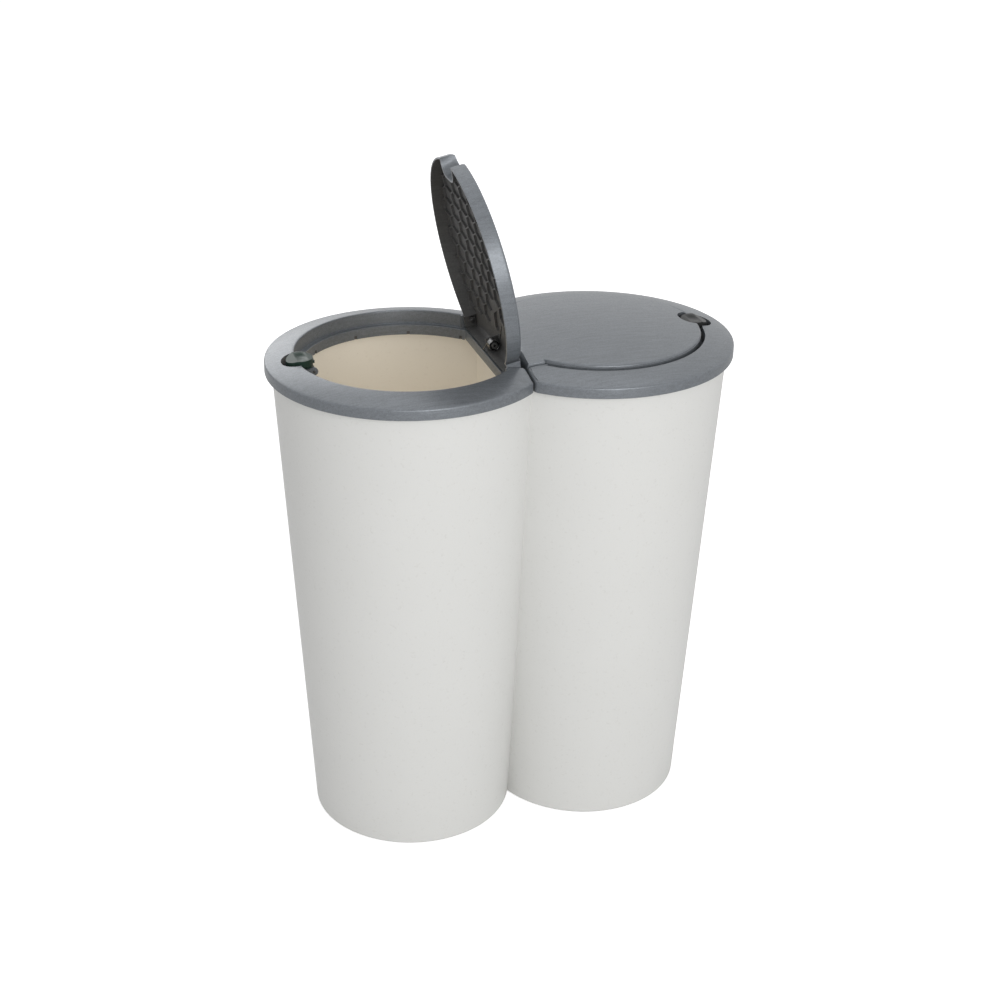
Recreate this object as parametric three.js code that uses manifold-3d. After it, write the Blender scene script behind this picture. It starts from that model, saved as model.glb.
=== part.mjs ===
// Double recycling bin: one moulded body with two round tubs, a clip-on rim and a sprung lid on
// each tub, and a rocking latch button at each outer end. The left lid stands open, the right one
// is shut. Millimetres, +Z up, origin at the centre of the footprint, the front is -Y.
import * as THREE from "three";
import { mergeVertices } from "three/addons/utils/BufferGeometryUtils.js";
import Module from "manifold-3d";

const wasm = await Module();
wasm.setup();

// ---- driving dimensions -------------------------------------------------------------------

const roundSteps = 40; // steps in a full turn of the large round pieces
const smallSteps = 16; // steps in a full turn of pins, bosses and the button
const seatGap = 0.3; // between two pieces that rest on each other
const pinClearance = 0.1; // radial, pin in its hole

// body
const tubBaseRadius = 117.2;
const tubTopRadius = 149.7;
const tubOverlap = 40.7; // each tub's top circle reaches this far past the middle plane
const tubHeight = 566;
const tubWall = 2.2;
const tubFloor = 2.6;
const tubFootRadius = 4; // rounding where the wall meets the floor
const lipWidth = 4; // outward lip that the rim clips over
const lipThickness = 2;
const saddlePlay = 2; // room in the body's wall round the rims' hinge troughs

// rim
const rimWall = 1.8;
const bandGap = 1.5; // from the body's lip to the inside of the rim's band
const rimStand = 12.3; // mouth's edge above the tub's
const rimRise = 8; // from the band's top edge up to the inner edge of the sloping top
const rimBulge = 1.1; // how far the sloping top stands above a straight line
const rimTopWidth = 33; // of the sloping top, out to the band
const ledgeWidth = 5.5; // from the mouth's wall to the collar below it
const neckDepth = 12; // from the ledge to the collar's lower edge
const sillDepth = 10; // from the ledge to the hinge sill's lower edge
const sillRise = 1.6; // from the ledge to the hinge sill's top
const rimChordGap = 0.8; // from the middle plane to each rim
const troughLip = 0.5; // the trough's lip stands this far clear of the swinging hinge wall
const cheekFoot = 3; // the hinge cheeks reach this far beyond the sill
const beadAngles = [100, 140, 180, 220, 260]; // snap beads under the body's lip
const beadReach = 2.7; // inwards from the band
const beadWidth = 14;
const beadHeight = 2.4;
const beadPlay = 1.2; // from the lip's underside to the beads
const padAngles = [166, 194]; // pads on the ledge, beside the button, for the shut lid
const padHeight = 2.7;
const padWidth = 10;
const padDepth = 3;
const notchFirst = 44.5; // small notches in the collar's lower edge, degrees from the middle
const notchStep = 30.7;
const notchCount = 4; // on each side
const notchWidth = 3.4;
const notchHeight = 4.5;

// lid
const lidSideGap = 4.5; // between the lid and the mouth's wall
const lidWall = 2;
const lidStand = 3.2; // lid's edge above the mouth's edge
const skirtDepth = 16.5;
const domeRise = 7.5;
const lidChordGap = 1.5; // from the middle plane to each lid
const shoulderReach = 21; // length of the lid's straight end from the middle plane
const shoulderStep = 3.15; // the straight end stands out beside the round part
const shoulderGap = 2; // to the rim on either side
const openAngle = 77.6; // degrees

// lid hinge and its torsion spring
const rollRadius = 10.1; // rounded hinge edge, concentric with the axis
const hingeClearance = 1.9; // the hinge wall swings this far clear of the rim's trough
const pinRadius = 1.5;
const pinHeadRadius = 3;
const pinHeadLength = 1.5;
const bossRadius = 4.2;
const bossLength = 4;
const springRadius = 5.9; // to the middle of the wire
const springWire = 0.65; // wire radius
const springTurns = 9;
const springFront = -7; // y of the coil's front end
const springLength = 16;
const springLegLength = 27; // along the lid, from the axis
const springLegLean = 16; // towards the front
const postRadius = 3.6;
const postBore = 1.6;
const postBoreDepth = 10.5;
const postStand = 1.5; // the post's front end stands out of the coil
const webThickness = 2.5; // web that carries the post, behind the coil
const webGap = 3;
const webMargin = 3;

// latch button
const buttonHalfLength = 14.6; // along X
const buttonHalfWidth = 16; // along Y
const buttonInset = 3.4; // the button's centre lies this far inside the mouth's edge
const buttonTop = 2.5; // above the mouth's edge
const buttonDepth = 7.3; // thickness of the oval cap
const buttonFall = 4; // drop of the cap towards its outer end
const buttonCrown = 0.8; // drop of the cap at its inner end
const crownStart = 0.6; // where those drops begin, as shares of the half length
const fallStart = 0.35;
const pivotInset = 16.4; // pivot, inside the mouth's edge
const pivotRise = 5.5; // pivot, above the rim's ledge
const stemHalf = 11.2; // half width of the stem between the ears
const stemReach = 8; // from the pivot to the stem's outer side
const eyeRadius = 2.8; // the stem's round foot, about the pivot
const earGap = 0.5;
const earThickness = 2.8;
const earRadius = 4.4;
const earRoot = 4; // the ears start this far inside the recess's wall
const pinProud = 0.6; // the pivot pin's ends, beyond the ears
const noseHalf = 6;
const noseReach = 0.8; // beyond the cap's inner end
const noseHeight = 3;
const noseLift = 0.7; // from the cap's underside to the nose's
const catchHeight = 2.2;
const latchGap = 0.4; // nose to catch, both ways

// recess for the button in the rim, and the bite for it in the lid, both centred on the mouth's
// edge; squareness is a superellipse's exponent
const recessHalfLength = 16.5;
const recessHalfWidth = 20;
const biteFootHalfLength = 24.5;
const biteFootHalfWidth = 20.5;
const biteFootSquareness = 4;
const biteTopHalfLength = 20.5; // at the height of the dome's crown
const biteTopHalfWidth = 20;

// return spring under the button's outer end
const returnRadius = 3.2;
const returnWire = 0.4;
const returnTurns = 5;
const returnOffset = 20.5; // outwards from the pivot
const returnPlay = 0.15; // on top of the seat gap, at both ends

// ---- derived places (the left bin, whose outer end is -X) -----------------------------------

const axisX = tubOverlap - tubTopRadius;
const rimRadius = tubTopRadius + lipWidth + bandGap + rimWall;
const mouthRadius = rimRadius - rimTopWidth;
const neckRadius = mouthRadius - ledgeWidth;
const lidRadius = mouthRadius - lidSideGap;
const mouthHeight = tubHeight + rimStand;
const bandTop = mouthHeight - rimRise;
const lidEdge = mouthHeight + lidStand;
const skirtBottom = lidEdge - skirtDepth;
const ledgeHeight = skirtBottom - seatGap - padHeight;
const neckBottom = ledgeHeight - neckDepth;
const hingeX = -(lidChordGap + rollRadius);
const hingeHeight = domeAt(hingeX - axisX) - rollRadius;
const mouthEnd = axisX - mouthRadius; // outermost point of the mouth
const buttonX = mouthEnd + buttonInset;
const pivotX = mouthEnd + pivotInset;
const pivotZ = ledgeHeight + pivotRise;
const capTop = mouthHeight + buttonTop;
const capBottom = capTop - buttonDepth;
const noseBottom = capBottom + noseLift;
const noseEnd = buttonX + buttonHalfLength + noseReach;
const sweepRadius = Math.hypot(rollRadius, hingeHeight - skirtBottom);
const troughTop = hingeHeight - sweepRadius - hingeClearance;
const bandBottom = troughTop;
const troughBottom = troughTop - rimWall;
const partitionTop = troughBottom - seatGap;
const shoulderHalf = Math.sqrt(lidRadius ** 2 - (axisX + shoulderReach) ** 2) + shoulderStep;
const notchHalf = shoulderHalf + shoulderGap; // half width of the rim's opening at the hinge
const overshoot = 1; // a cutter goes this far past the face that it cuts

// Height of the lid's dome at a radius from the tub's axis.
function domeAt(radius) {
  return lidEdge + domeRise * (1 - (radius / lidRadius) ** 2);
}

// Far edge of the hinge wall's foot once the lid is open: the sill stops it there.
const open = THREE.MathUtils.degToRad(openAngle);
const footReach = (rollRadius - lidWall) * Math.cos(open)
  - (hingeHeight - skirtBottom) * Math.sin(open);
const sillFace = hingeX + footReach - seatGap;
const sillOuter = sillFace - rimWall;
const sillTop = ledgeHeight + sillRise;
const sillBottom = ledgeHeight - sillDepth;

// ---- solids -------------------------------------------------------------------------------

// A closed BufferGeometry as a solid for joining and cutting.
function solid(geometry) {
  const bare = geometry.clone();
  bare.deleteAttribute("normal");
  bare.deleteAttribute("uv");
  const merged = mergeVertices(bare, 1e-4);
  const corners = merged.index.array;
  const triangles = [];
  for (let i = 0; i < corners.length; i += 3) {
    const [a, b, c] = [corners[i], corners[i + 1], corners[i + 2]];
    if (a !== b && b !== c && c !== a) triangles.push(a, b, c);
  }
  const build = (list) => new wasm.Manifold(new wasm.Mesh({
    numProp: 3,
    vertProperties: new Float32Array(merged.attributes.position.array),
    triVerts: new Uint32Array(list),
  }));
  const made = build(triangles);
  return made.volume() < 0 ? build(triangles.reverse()) : made;
}

// A solid as a BufferGeometry with flat facets.
function geometryOf(made) {
  const { numProp, vertProperties, triVerts } = made.getMesh();
  const places = new Float32Array((vertProperties.length / numProp) * 3);
  for (let i = 0; i < places.length / 3; i++) {
    places.set(vertProperties.subarray(i * numProp, i * numProp + 3), i * 3);
  }
  const indexed = new THREE.BufferGeometry();
  indexed.setAttribute("position", new THREE.BufferAttribute(places, 3));
  indexed.setIndex(new THREE.BufferAttribute(triVerts, 1));
  const flat = indexed.toNonIndexed();
  flat.computeVertexNormals();
  return flat;
}

const unite = (first, ...rest) => rest.reduce((sum, next) => sum.add(next), first);

function box(x0, x1, y0, y1, z0, z1) {
  const geometry = new THREE.BoxGeometry(x1 - x0, y1 - y0, z1 - z0);
  geometry.translate((x0 + x1) / 2, (y0 + y1) / 2, (z0 + z1) / 2);
  return solid(geometry);
}

// [radius, height] pairs turned about a vertical axis at x.
function turned(profile, x, steps = roundSteps) {
  const points = profile.map(([r, z]) => new THREE.Vector2(r, z));
  const geometry = new THREE.LatheGeometry(points, steps);
  geometry.rotateX(Math.PI / 2);
  geometry.translate(x, 0, 0);
  return solid(geometry);
}

// A ring: the profile closes on itself.
const ring = (profile, x) => turned([...profile, profile[0]], x);

// Blocks at angles in degrees about the tub's axis, between two radii and two heights.
function blocks(angles, inner, outer, width, z0, z1) {
  return angles.map((degrees) => {
    const geometry = new THREE.BoxGeometry(outer - inner, width, z1 - z0);
    geometry.translate((inner + outer) / 2, 0, (z0 + z1) / 2);
    geometry.rotateZ(THREE.MathUtils.degToRad(degrees));
    geometry.translate(axisX, 0, 0);
    return solid(geometry);
  });
}

// A plan outline extruded up from z0 to z1.
function upright(shape, z0, z1) {
  const options = { depth: z1 - z0, bevelEnabled: false };
  const geometry = new THREE.ExtrudeGeometry(shape, options);
  geometry.translate(0, 0, z0);
  return solid(geometry);
}

// An outline in X and Z extruded along Y.
function across(points, y0, y1) {
  const shape = new THREE.Shape(points.map(([x, z]) => new THREE.Vector2(x, z)));
  const options = { depth: y1 - y0, bevelEnabled: false };
  const geometry = new THREE.ExtrudeGeometry(shape, options);
  geometry.rotateX(Math.PI / 2);
  geometry.translate(0, y1, 0);
  return solid(geometry);
}

// A round bar along Y.
function bar(radius, y0, y1, x, z, steps = smallSteps) {
  const geometry = new THREE.CylinderGeometry(radius, radius, y1 - y0, steps);
  geometry.translate(x, (y0 + y1) / 2, z);
  return solid(geometry);
}

// An oval plug from the foot oval at z0 to the top oval at z1. An oval is [x, halfX, halfY], and
// a fourth value above 2 makes it squarer.
function ovalPlug(foot, z0, top, z1) {
  const geometry = new THREE.CylinderGeometry(1, 1, 1, 2 * smallSteps);
  geometry.rotateX(Math.PI / 2);
  const places = geometry.attributes.position;
  const swell = (value, squareness) => Math.sign(value) * Math.abs(value) ** (2 / squareness);
  for (let i = 0; i < places.count; i++) {
    const upper = places.getZ(i) > 0;
    const [x, halfX, halfY, squareness = 2] = upper ? top : foot;
    const along = swell(places.getX(i), squareness);
    const aside = swell(places.getY(i), squareness);
    places.setXYZ(i, x + along * halfX, aside * halfY, upper ? z1 : z0);
  }
  return solid(geometry);
}

// Round wire along a path; the section is a polygon.
function wire(path, radius, steps, sides = 5) {
  const section = new THREE.Shape();
  for (let i = 0; i < sides; i++) {
    const a = (i / sides) * 2 * Math.PI;
    const point = [radius * Math.cos(a), radius * Math.sin(a)];
    if (i === 0) section.moveTo(...point);
    else section.lineTo(...point);
  }
  return new THREE.ExtrudeGeometry(section, { steps, extrudePath: path, bevelEnabled: false });
}

// ---- body ---------------------------------------------------------------------------------

const tubRadiusAt = (z) => tubBaseRadius + ((tubTopRadius - tubBaseRadius) * z) / tubHeight;

function tubShell(x) {
  const foot = [];
  for (let i = 0; i <= 3; i++) {
    const a = (i / 3) * (Math.PI / 2);
    foot.push([
      tubRadiusAt(tubFootRadius) - tubFootRadius * (1 - Math.sin(a)),
      tubFootRadius * (1 - Math.cos(a)),
    ]);
  }
  const lipRadius = tubTopRadius + lipWidth;
  const lipBottom = tubHeight - lipThickness;
  return turned([
    [0, 0],
    ...foot,
    [tubRadiusAt(lipBottom - lipWidth), lipBottom - lipWidth],
    [lipRadius, lipBottom],
    [lipRadius, tubHeight],
    [0, tubHeight],
  ], x);
}

function tubHollow(x) {
  const profile = [
    [0, tubFloor],
    [tubRadiusAt(tubFloor) - tubWall, tubFloor],
    [tubTopRadius - tubWall, tubHeight],
    [tubTopRadius - tubWall, tubHeight + overshoot],
    [0, tubHeight + overshoot],
  ];
  const side = Math.sign(x);
  const far = 2 * rimRadius;
  const reach = [side * (tubWall / 2), side * far].sort((a, b) => a - b);
  return turned(profile, x).intersect(box(...reach, -far, far, 0, far + tubHeight));
}

// The two tubs share one partition, which stops below the rims' hinge troughs.
function doubleTub() {
  const shell = tubShell(axisX).add(tubShell(-axisX));
  const slot = rimChordGap + rimWall + bandGap;
  const top = tubHeight + overshoot;
  const step = box(-slot, slot, -rimRadius, rimRadius, partitionTop, top);
  const trough = saddlePlay - sillOuter;
  const side = notchHalf + rimWall + saddlePlay;
  const saddle = box(-trough, trough, -side, side, partitionTop, top);
  return shell
    .subtract(tubHollow(axisX))
    .subtract(tubHollow(-axisX))
    .subtract(step)
    .subtract(saddle);
}

// ---- rim ----------------------------------------------------------------------------------

// Height of the rim's sloping top at a radius from the tub's axis.
function rimTopAt(radius) {
  const t = (rimRadius - radius) / (rimRadius - mouthRadius);
  return bandTop + rimRise * t + rimBulge * 4 * t * (1 - t);
}

const seatRibOuter = tubTopRadius;
const seatRibInner = tubTopRadius - tubWall;
const seatRibBottom = tubHeight + seatGap;
const topRadii = [0.045, 0.27, 0.58, 0.82, 0.97]
  .map((share) => rimRadius - share * rimTopWidth);
const edgeDrop = 1; // height of the rim's rounded edges

function rimRing() {
  const under = (radius) => [radius, rimTopAt(radius) - rimWall];
  return ring([
    [rimRadius, bandBottom],
    [rimRadius, bandTop - edgeDrop],
    ...topRadii.map((radius) => [radius, rimTopAt(radius)]),
    [mouthRadius, mouthHeight - edgeDrop],
    [mouthRadius, ledgeHeight],
    [neckRadius, ledgeHeight],
    [neckRadius, neckBottom],
    [neckRadius + rimWall, neckBottom],
    [neckRadius + rimWall, ledgeHeight - rimWall],
    [mouthRadius + rimWall, ledgeHeight - rimWall],
    under(mouthRadius + rimWall),
    under(seatRibInner),
    [seatRibInner, seatRibBottom],
    [seatRibOuter, seatRibBottom],
    under(seatRibOuter),
    under(rimRadius - rimWall),
    [rimRadius - rimWall, bandBottom],
  ], axisX);
}

// Everything under the rim's top surface: keeps added walls from standing through it.
function rimEnvelope() {
  return turned([
    [0, neckBottom - overshoot],
    [rimRadius, neckBottom - overshoot],
    [rimRadius, bandTop - edgeDrop],
    ...topRadii.map((radius) => [radius, rimTopAt(radius)]),
    [mouthRadius, mouthHeight],
    [0, mouthHeight],
  ], axisX);
}

// Small beads inside the band that snap under the body's lip.
function clipBeads() {
  const root = rimRadius - rimWall / 2;
  const top = tubHeight - lipThickness - seatGap - beadPlay;
  return unite(...blocks(beadAngles, root - beadReach - rimWall / 2, root, beadWidth,
    top - beadHeight, top));
}

// Low pads on the ledge that the closed lid's skirt comes down on.
function restPads() {
  const middle = lidRadius - lidWall / 2;
  return unite(...blocks(padAngles, middle - padDepth / 2, middle + padDepth / 2, padWidth,
    ledgeHeight - rimWall / 2, ledgeHeight + padHeight));
}

// Notches in the collar's lower edge that hold a bag's border.
function collarNotches() {
  const angles = Array.from({ length: notchCount }, (_, i) => notchFirst + i * notchStep);
  return unite(...blocks([...angles, ...angles.map((a) => -a)], neckRadius - rimWall,
    neckRadius + 2 * rimWall, notchWidth, neckBottom - overshoot, neckBottom + notchHeight));
}

// The rim's straight side: a trough for the lid's hinge wall between the sill and a low lip.
function hingeTrough() {
  const lipFace = -rimChordGap - rimWall;
  const lipClear = sweepRadius + troughLip;
  const lipTop = hingeHeight - Math.sqrt(lipClear ** 2 - (lipFace - hingeX) ** 2);
  const side = notchHalf + rimWall;
  const floor = box(sillOuter, -rimChordGap, -side, side, troughBottom, troughTop);
  const lip = box(lipFace, -rimChordGap, -side, side, troughBottom, lipTop);
  const sill = box(sillOuter, sillFace, -side, side, sillBottom, sillTop);
  return unite(floor, lip, sill);
}

// Upright walls that close the rim's cut ends and carry the hinge pins.
function hingeCheeks() {
  const cheeks = [-1, 1].map((side) => {
    const faces = [side * notchHalf, side * (notchHalf + rimWall)].sort((a, b) => a - b);
    const ends = [side * notchHalf, side * rimRadius].sort((a, b) => a - b);
    const boss = [side * notchHalf, side * (notchHalf + bossLength)].sort((a, b) => a - b);
    return unite(
      box(sillOuter - cheekFoot, -rimChordGap, ...faces, troughBottom, mouthHeight),
      box(-rimChordGap - rimWall, -rimChordGap, ...ends, bandBottom, mouthHeight),
      bar(bossRadius, ...boss, hingeX, hingeHeight),
    );
  });
  return unite(...cheeks).intersect(rimEnvelope());
}

const recessAt = (grow) => [mouthEnd, recessHalfLength + grow, recessHalfWidth + grow];

// Cup under the button: its floor is level with the ledge.
function buttonCup() {
  const cup = ovalPlug(recessAt(rimWall), ledgeHeight - rimWall, recessAt(rimWall), mouthHeight);
  const clear = turned([
    [0, 0],
    [neckRadius, 0],
    [neckRadius, ledgeHeight],
    [mouthRadius, ledgeHeight],
    [mouthRadius, 2 * mouthHeight],
    [0, 2 * mouthHeight],
  ], axisX);
  return cup.intersect(rimEnvelope()).subtract(clear);
}

// Two ears that carry the button's pivot pin over the mouth.
function buttonEars() {
  const root = mouthEnd - earRoot;
  const foot = axisX - neckRadius + rimWall / 2;
  const base = ledgeHeight - rimWall / 2;
  const ears = [-1, 1].map((side) => {
    const inner = stemHalf + earGap;
    const faces = [side * inner, side * (inner + earThickness)].sort((a, b) => a - b);
    const arm = across([
      [root, base],
      [foot, base],
      [pivotX, pivotZ - earRadius],
      [pivotX, pivotZ + earRadius],
      [root, pivotZ],
    ], ...faces);
    return arm.add(bar(earRadius, ...faces, pivotX, pivotZ));
  });
  return unite(...ears);
}

function rim() {
  const far = 2 * rimRadius;
  const keep = box(-2 * far, -rimChordGap, -far, far, 0, 2 * mouthHeight);
  const notch = box(sillOuter, overshoot, -notchHalf, notchHalf, 0, 2 * mouthHeight);
  const recess = ovalPlug(recessAt(0), ledgeHeight, recessAt(0), 2 * mouthHeight);
  const ring = unite(rimRing(), clipBeads(), restPads(), buttonCup())
    .intersect(keep)
    .subtract(notch)
    .subtract(recess)
    .subtract(collarNotches());
  const whole = unite(ring, hingeTrough(), hingeCheeks(), buttonEars());
  const hole = pinRadius + pinClearance;
  const reach = notchHalf + bossLength + overshoot;
  return whole
    .subtract(bar(hole, -reach, reach, hingeX, hingeHeight))
    .subtract(bar(hole, -recessHalfWidth, recessHalfWidth, pivotX, pivotZ));
}

// ---- lid (shut, in the bin's frame) ---------------------------------------------------------

// Plan of the lid: most of a disc with a straight hinge end between two square shoulders.
function lidOutline(inset) {
  const radius = lidRadius - inset;
  const half = shoulderHalf - inset;
  const step = -shoulderReach + inset;
  const meet = Math.acos((step - axisX) / radius);
  const shape = new THREE.Shape();
  shape.moveTo(-lidChordGap - inset, -half);
  shape.lineTo(-lidChordGap - inset, half);
  shape.lineTo(step, half);
  for (let i = 0; i <= roundSteps; i++) {
    const a = meet + (i / roundSteps) * 2 * (Math.PI - meet);
    shape.lineTo(axisX + radius * Math.cos(a), radius * Math.sin(a));
  }
  shape.lineTo(step, -half);
  return shape;
}

function lidDome(inset) {
  const shares = [1.2, 1, 0.8, 0.6, 0.35, 0]; // past the lid's edge to take in the shoulders
  const radii = shares.map((share) => share * lidRadius);
  const profile = [[0, 0], [radii[0], 0], ...radii.map((radius) => [radius, domeAt(radius) - inset])];
  return turned(profile, axisX);
}

// Limits the lid to the rounded hinge edge.
function hingeRoll(inset) {
  const radius = rollRadius - inset;
  const top = 2 * lidEdge;
  const far = axisX - rimRadius;
  const points = [[far, 0], [hingeX + radius, 0]];
  for (let i = 0; i <= 6; i++) {
    const a = (i / 6) * (Math.PI / 2);
    points.push([hingeX + radius * Math.cos(a), hingeHeight + radius * Math.sin(a)]);
  }
  points.push([hingeX, top], [far, top]);
  return across(points, -rimRadius, rimRadius);
}

// The bite that leaves room for the button and its ears.
function bite(grow) {
  const foot = [mouthEnd, biteFootHalfLength + grow, biteFootHalfWidth + grow, biteFootSquareness];
  const top = [mouthEnd, biteTopHalfLength + grow, biteTopHalfWidth + grow];
  return ovalPlug(foot, skirtBottom - overshoot, top, domeAt(0));
}

function lid() {
  const ceiling = lidEdge + domeRise + overshoot;
  const outer = upright(lidOutline(0), skirtBottom, ceiling)
    .intersect(lidDome(0))
    .intersect(hingeRoll(0))
    .subtract(bite(0));
  const hollow = upright(lidOutline(lidWall), skirtBottom - overshoot, ceiling)
    .intersect(lidDome(lidWall))
    .intersect(hingeRoll(lidWall))
    .subtract(bite(lidWall));
  const webFront = springFront + springLength + webGap;
  const postFront = springFront - postStand;
  const web = box(hingeX - postRadius - webMargin, -lidChordGap, webFront,
    webFront + webThickness, hingeHeight - postRadius - webMargin, ceiling);
  const post = bar(postRadius, postFront, webFront + webThickness / 2, hingeX, hingeHeight);
  const bosses = [-1, 1].map((side) => bar(bossRadius,
    ...[side * shoulderHalf, side * (shoulderHalf - lidWall - bossLength)].sort((a, b) => a - b),
    hingeX, hingeHeight));
  const catchTop = noseBottom - latchGap;
  const catchEnd = mouthEnd + biteFootHalfLength;
  const latchCatch = box(noseEnd + latchGap, catchEnd, -noseHalf, noseHalf,
    catchTop - catchHeight, catchTop);
  const inside = unite(web, post, ...bosses).intersect(outer);
  const bore = bar(postBore, postFront - overshoot, postFront + postBoreDepth, hingeX, hingeHeight);
  const holeEnd = shoulderHalf + overshoot;
  const holes = bar(pinRadius + pinClearance, -holeEnd, holeEnd, hingeX, hingeHeight);
  const midway = shoulderHalf - lidWall - bossLength - overshoot;
  const between = box(hingeX - rollRadius, 0, -midway, midway, 0, 2 * lidEdge);
  return unite(outer.subtract(hollow), inside, latchCatch)
    .subtract(bore)
    .subtract(holes.subtract(between));
}

// ---- hinge pins and lid spring --------------------------------------------------------------

// Headed pin from inside the lid's end wall out into the rim's boss, on the rear (+Y) side.
function hingePin() {
  const start = shoulderHalf - lidWall - bossLength - seatGap;
  const end = notchHalf + bossLength;
  const shank = bar(pinRadius, start - pinHeadLength / 2, end, 0, 0);
  return shank.add(bar(pinHeadRadius, start - pinHeadLength, start, 0, 0));
}

class SpringPath extends THREE.Curve {
  // Lid leg, coil and rim leg; angles in the XZ plane, from +X towards +Z.
  constructor(lidAngle) {
    super();
    const end = [sillOuter + rimWall / 2 - hingeX, sillTop + springWire + pinClearance - hingeHeight];
    const away = Math.hypot(...end);
    this.rimStart = Math.atan2(end[1], end[0]) - Math.acos(springRadius / away) + 2 * Math.PI;
    this.rimEnd = new THREE.Vector3(end[0], springFront + springLength, end[1]);
    this.lidStart = lidAngle - Math.PI / 2;
    const along = new THREE.Vector2(Math.cos(lidAngle), Math.sin(lidAngle));
    const out = new THREE.Vector2(Math.cos(this.lidStart), Math.sin(this.lidStart));
    const lift = rollRadius - lidWall + springWire;
    this.lidEnd = new THREE.Vector3(
      along.x * springLegLength + out.x * lift,
      springFront - springLegLean,
      along.y * springLegLength + out.y * lift,
    );
  }

  getPoint(t, target = new THREE.Vector3()) {
    const from = this.lidStart;
    const to = this.rimStart + (springTurns - 1) * 2 * Math.PI;
    const legShare = 0.08;
    const turn = (share, place) => place.set(
      springRadius * Math.cos(from + (to - from) * share),
      springFront + springLength * share,
      springRadius * Math.sin(from + (to - from) * share),
    );
    if (t < legShare) return turn(0, target).lerp(this.lidEnd, 1 - t / legShare);
    if (t > 1 - legShare) return turn(1, target).lerp(this.rimEnd, 1 - (1 - t) / legShare);
    return turn((t - legShare) / (1 - 2 * legShare), target);
  }
}

const lidSpring = (angle) => wire(new SpringPath(angle), springWire, springTurns * 9);

// ---- latch button ---------------------------------------------------------------------------

// Oval cap that falls away towards its outer end. Its inner half goes down between the ears to
// a round eye for the pivot pin, and a nose reaches over the lid's catch.
function latchButton() {
  const oval = [buttonX, buttonHalfLength, buttonHalfWidth];
  const outer = buttonX - buttonHalfLength - overshoot;
  const inner = buttonX + buttonHalfLength + overshoot;
  const side = across([
    [outer, capBottom],
    [inner, capBottom],
    [inner, capTop - buttonCrown],
    [buttonX + buttonHalfLength * crownStart, capTop],
    [buttonX - buttonHalfLength * fallStart, capTop],
    [outer, capTop - buttonFall],
  ], -recessHalfWidth, recessHalfWidth);
  const cap = ovalPlug(oval, capBottom - overshoot, oval, capTop + overshoot).intersect(side);
  const joined = capBottom + overshoot;
  const stem = ovalPlug(oval, pivotZ, oval, joined)
    .intersect(box(pivotX - stemReach, inner, -stemHalf, stemHalf, pivotZ, joined));
  const eye = bar(eyeRadius, -stemHalf, stemHalf, pivotX, pivotZ);
  const heel = box(pivotX - stemReach, pivotX, -stemHalf, stemHalf, pivotZ - eyeRadius, pivotZ);
  const nose = box(pivotX, noseEnd, -noseHalf, noseHalf, noseBottom, noseBottom + noseHeight);
  const hole = bar(pinRadius + pinClearance, -recessHalfWidth, recessHalfWidth, pivotX, pivotZ);
  return unite(cap, stem, eye, heel, nose).subtract(hole);
}

function pivotPin() {
  const half = stemHalf + earGap + earThickness + pinProud;
  return bar(pinRadius, -half, half, 0, 0);
}

class CoilPath extends THREE.Curve {
  constructor(radius, turns, height) {
    super();
    Object.assign(this, { radius, turns, height });
  }

  getPoint(t, target = new THREE.Vector3()) {
    const a = t * this.turns * 2 * Math.PI;
    return target.set(this.radius * Math.cos(a), this.radius * Math.sin(a), this.height * t);
  }
}

const returnSeat = seatGap + returnPlay + returnWire; // from a seat to the middle of the wire

function returnSpring() {
  const room = capBottom - ledgeHeight - 2 * returnSeat;
  return wire(new CoilPath(returnRadius, returnTurns, room), returnWire, returnTurns * 8);
}

// ---- assembly -------------------------------------------------------------------------------

const offWhite = () => new THREE.MeshStandardMaterial(
  { color: 0xe4e2dc, roughness: 0.5, metalness: 0 });
const silverGrey = () => new THREE.MeshStandardMaterial(
  { color: 0x7d838a, roughness: 0.38, metalness: 0.25 });
const darkGreen = () => new THREE.MeshStandardMaterial(
  { color: 0x2f4a41, roughness: 0.4, metalness: 0 });
const darkGrey = () => new THREE.MeshStandardMaterial(
  { color: 0x45484a, roughness: 0.4, metalness: 0 });
const springSteel = () => new THREE.MeshStandardMaterial(
  { color: 0xa8a8a6, roughness: 0.25, metalness: 1 });

function piece(name, geometry, material, x = 0, y = 0, z = 0) {
  const mesh = new THREE.Mesh(geometry, material);
  mesh.name = name;
  mesh.position.set(x, y, z);
  return mesh;
}

// One bin's rim, lid, hinge, spring and latch, drawn for the left; lidOpen is in degrees.
function binTop(side, lidOpen, buttonMaterial) {
  const top = new THREE.Group();
  top.add(piece(`${side}_rim`, geometryOf(rim()), silverGrey()));

  const hinge = new THREE.Group();
  hinge.position.set(hingeX, 0, hingeHeight);
  const lidGeometry = geometryOf(lid());
  lidGeometry.translate(-hingeX, 0, -hingeHeight);
  const lidMesh = piece(`${side}_lid`, lidGeometry, silverGrey());
  lidMesh.rotation.y = THREE.MathUtils.degToRad(lidOpen);
  hinge.add(lidMesh);
  const lidAngle = Math.PI - THREE.MathUtils.degToRad(lidOpen);
  hinge.add(piece(`${side}_lid_spring`, lidSpring(lidAngle), springSteel()));
  const rear = piece(`${side}_rear_hinge_pin`, geometryOf(hingePin()), springSteel());
  const front = piece(`${side}_front_hinge_pin`, geometryOf(hingePin()), springSteel());
  front.rotation.z = Math.PI;
  hinge.add(rear, front);
  top.add(hinge);

  top.add(piece(`${side}_latch_button`, geometryOf(latchButton()), buttonMaterial));
  top.add(piece(`${side}_button_pin`, geometryOf(pivotPin()), springSteel(), pivotX, 0, pivotZ));
  top.add(piece(`${side}_button_spring`, returnSpring(), springSteel(), pivotX - returnOffset, 0,
    ledgeHeight + returnSeat));
  return top;
}

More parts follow.
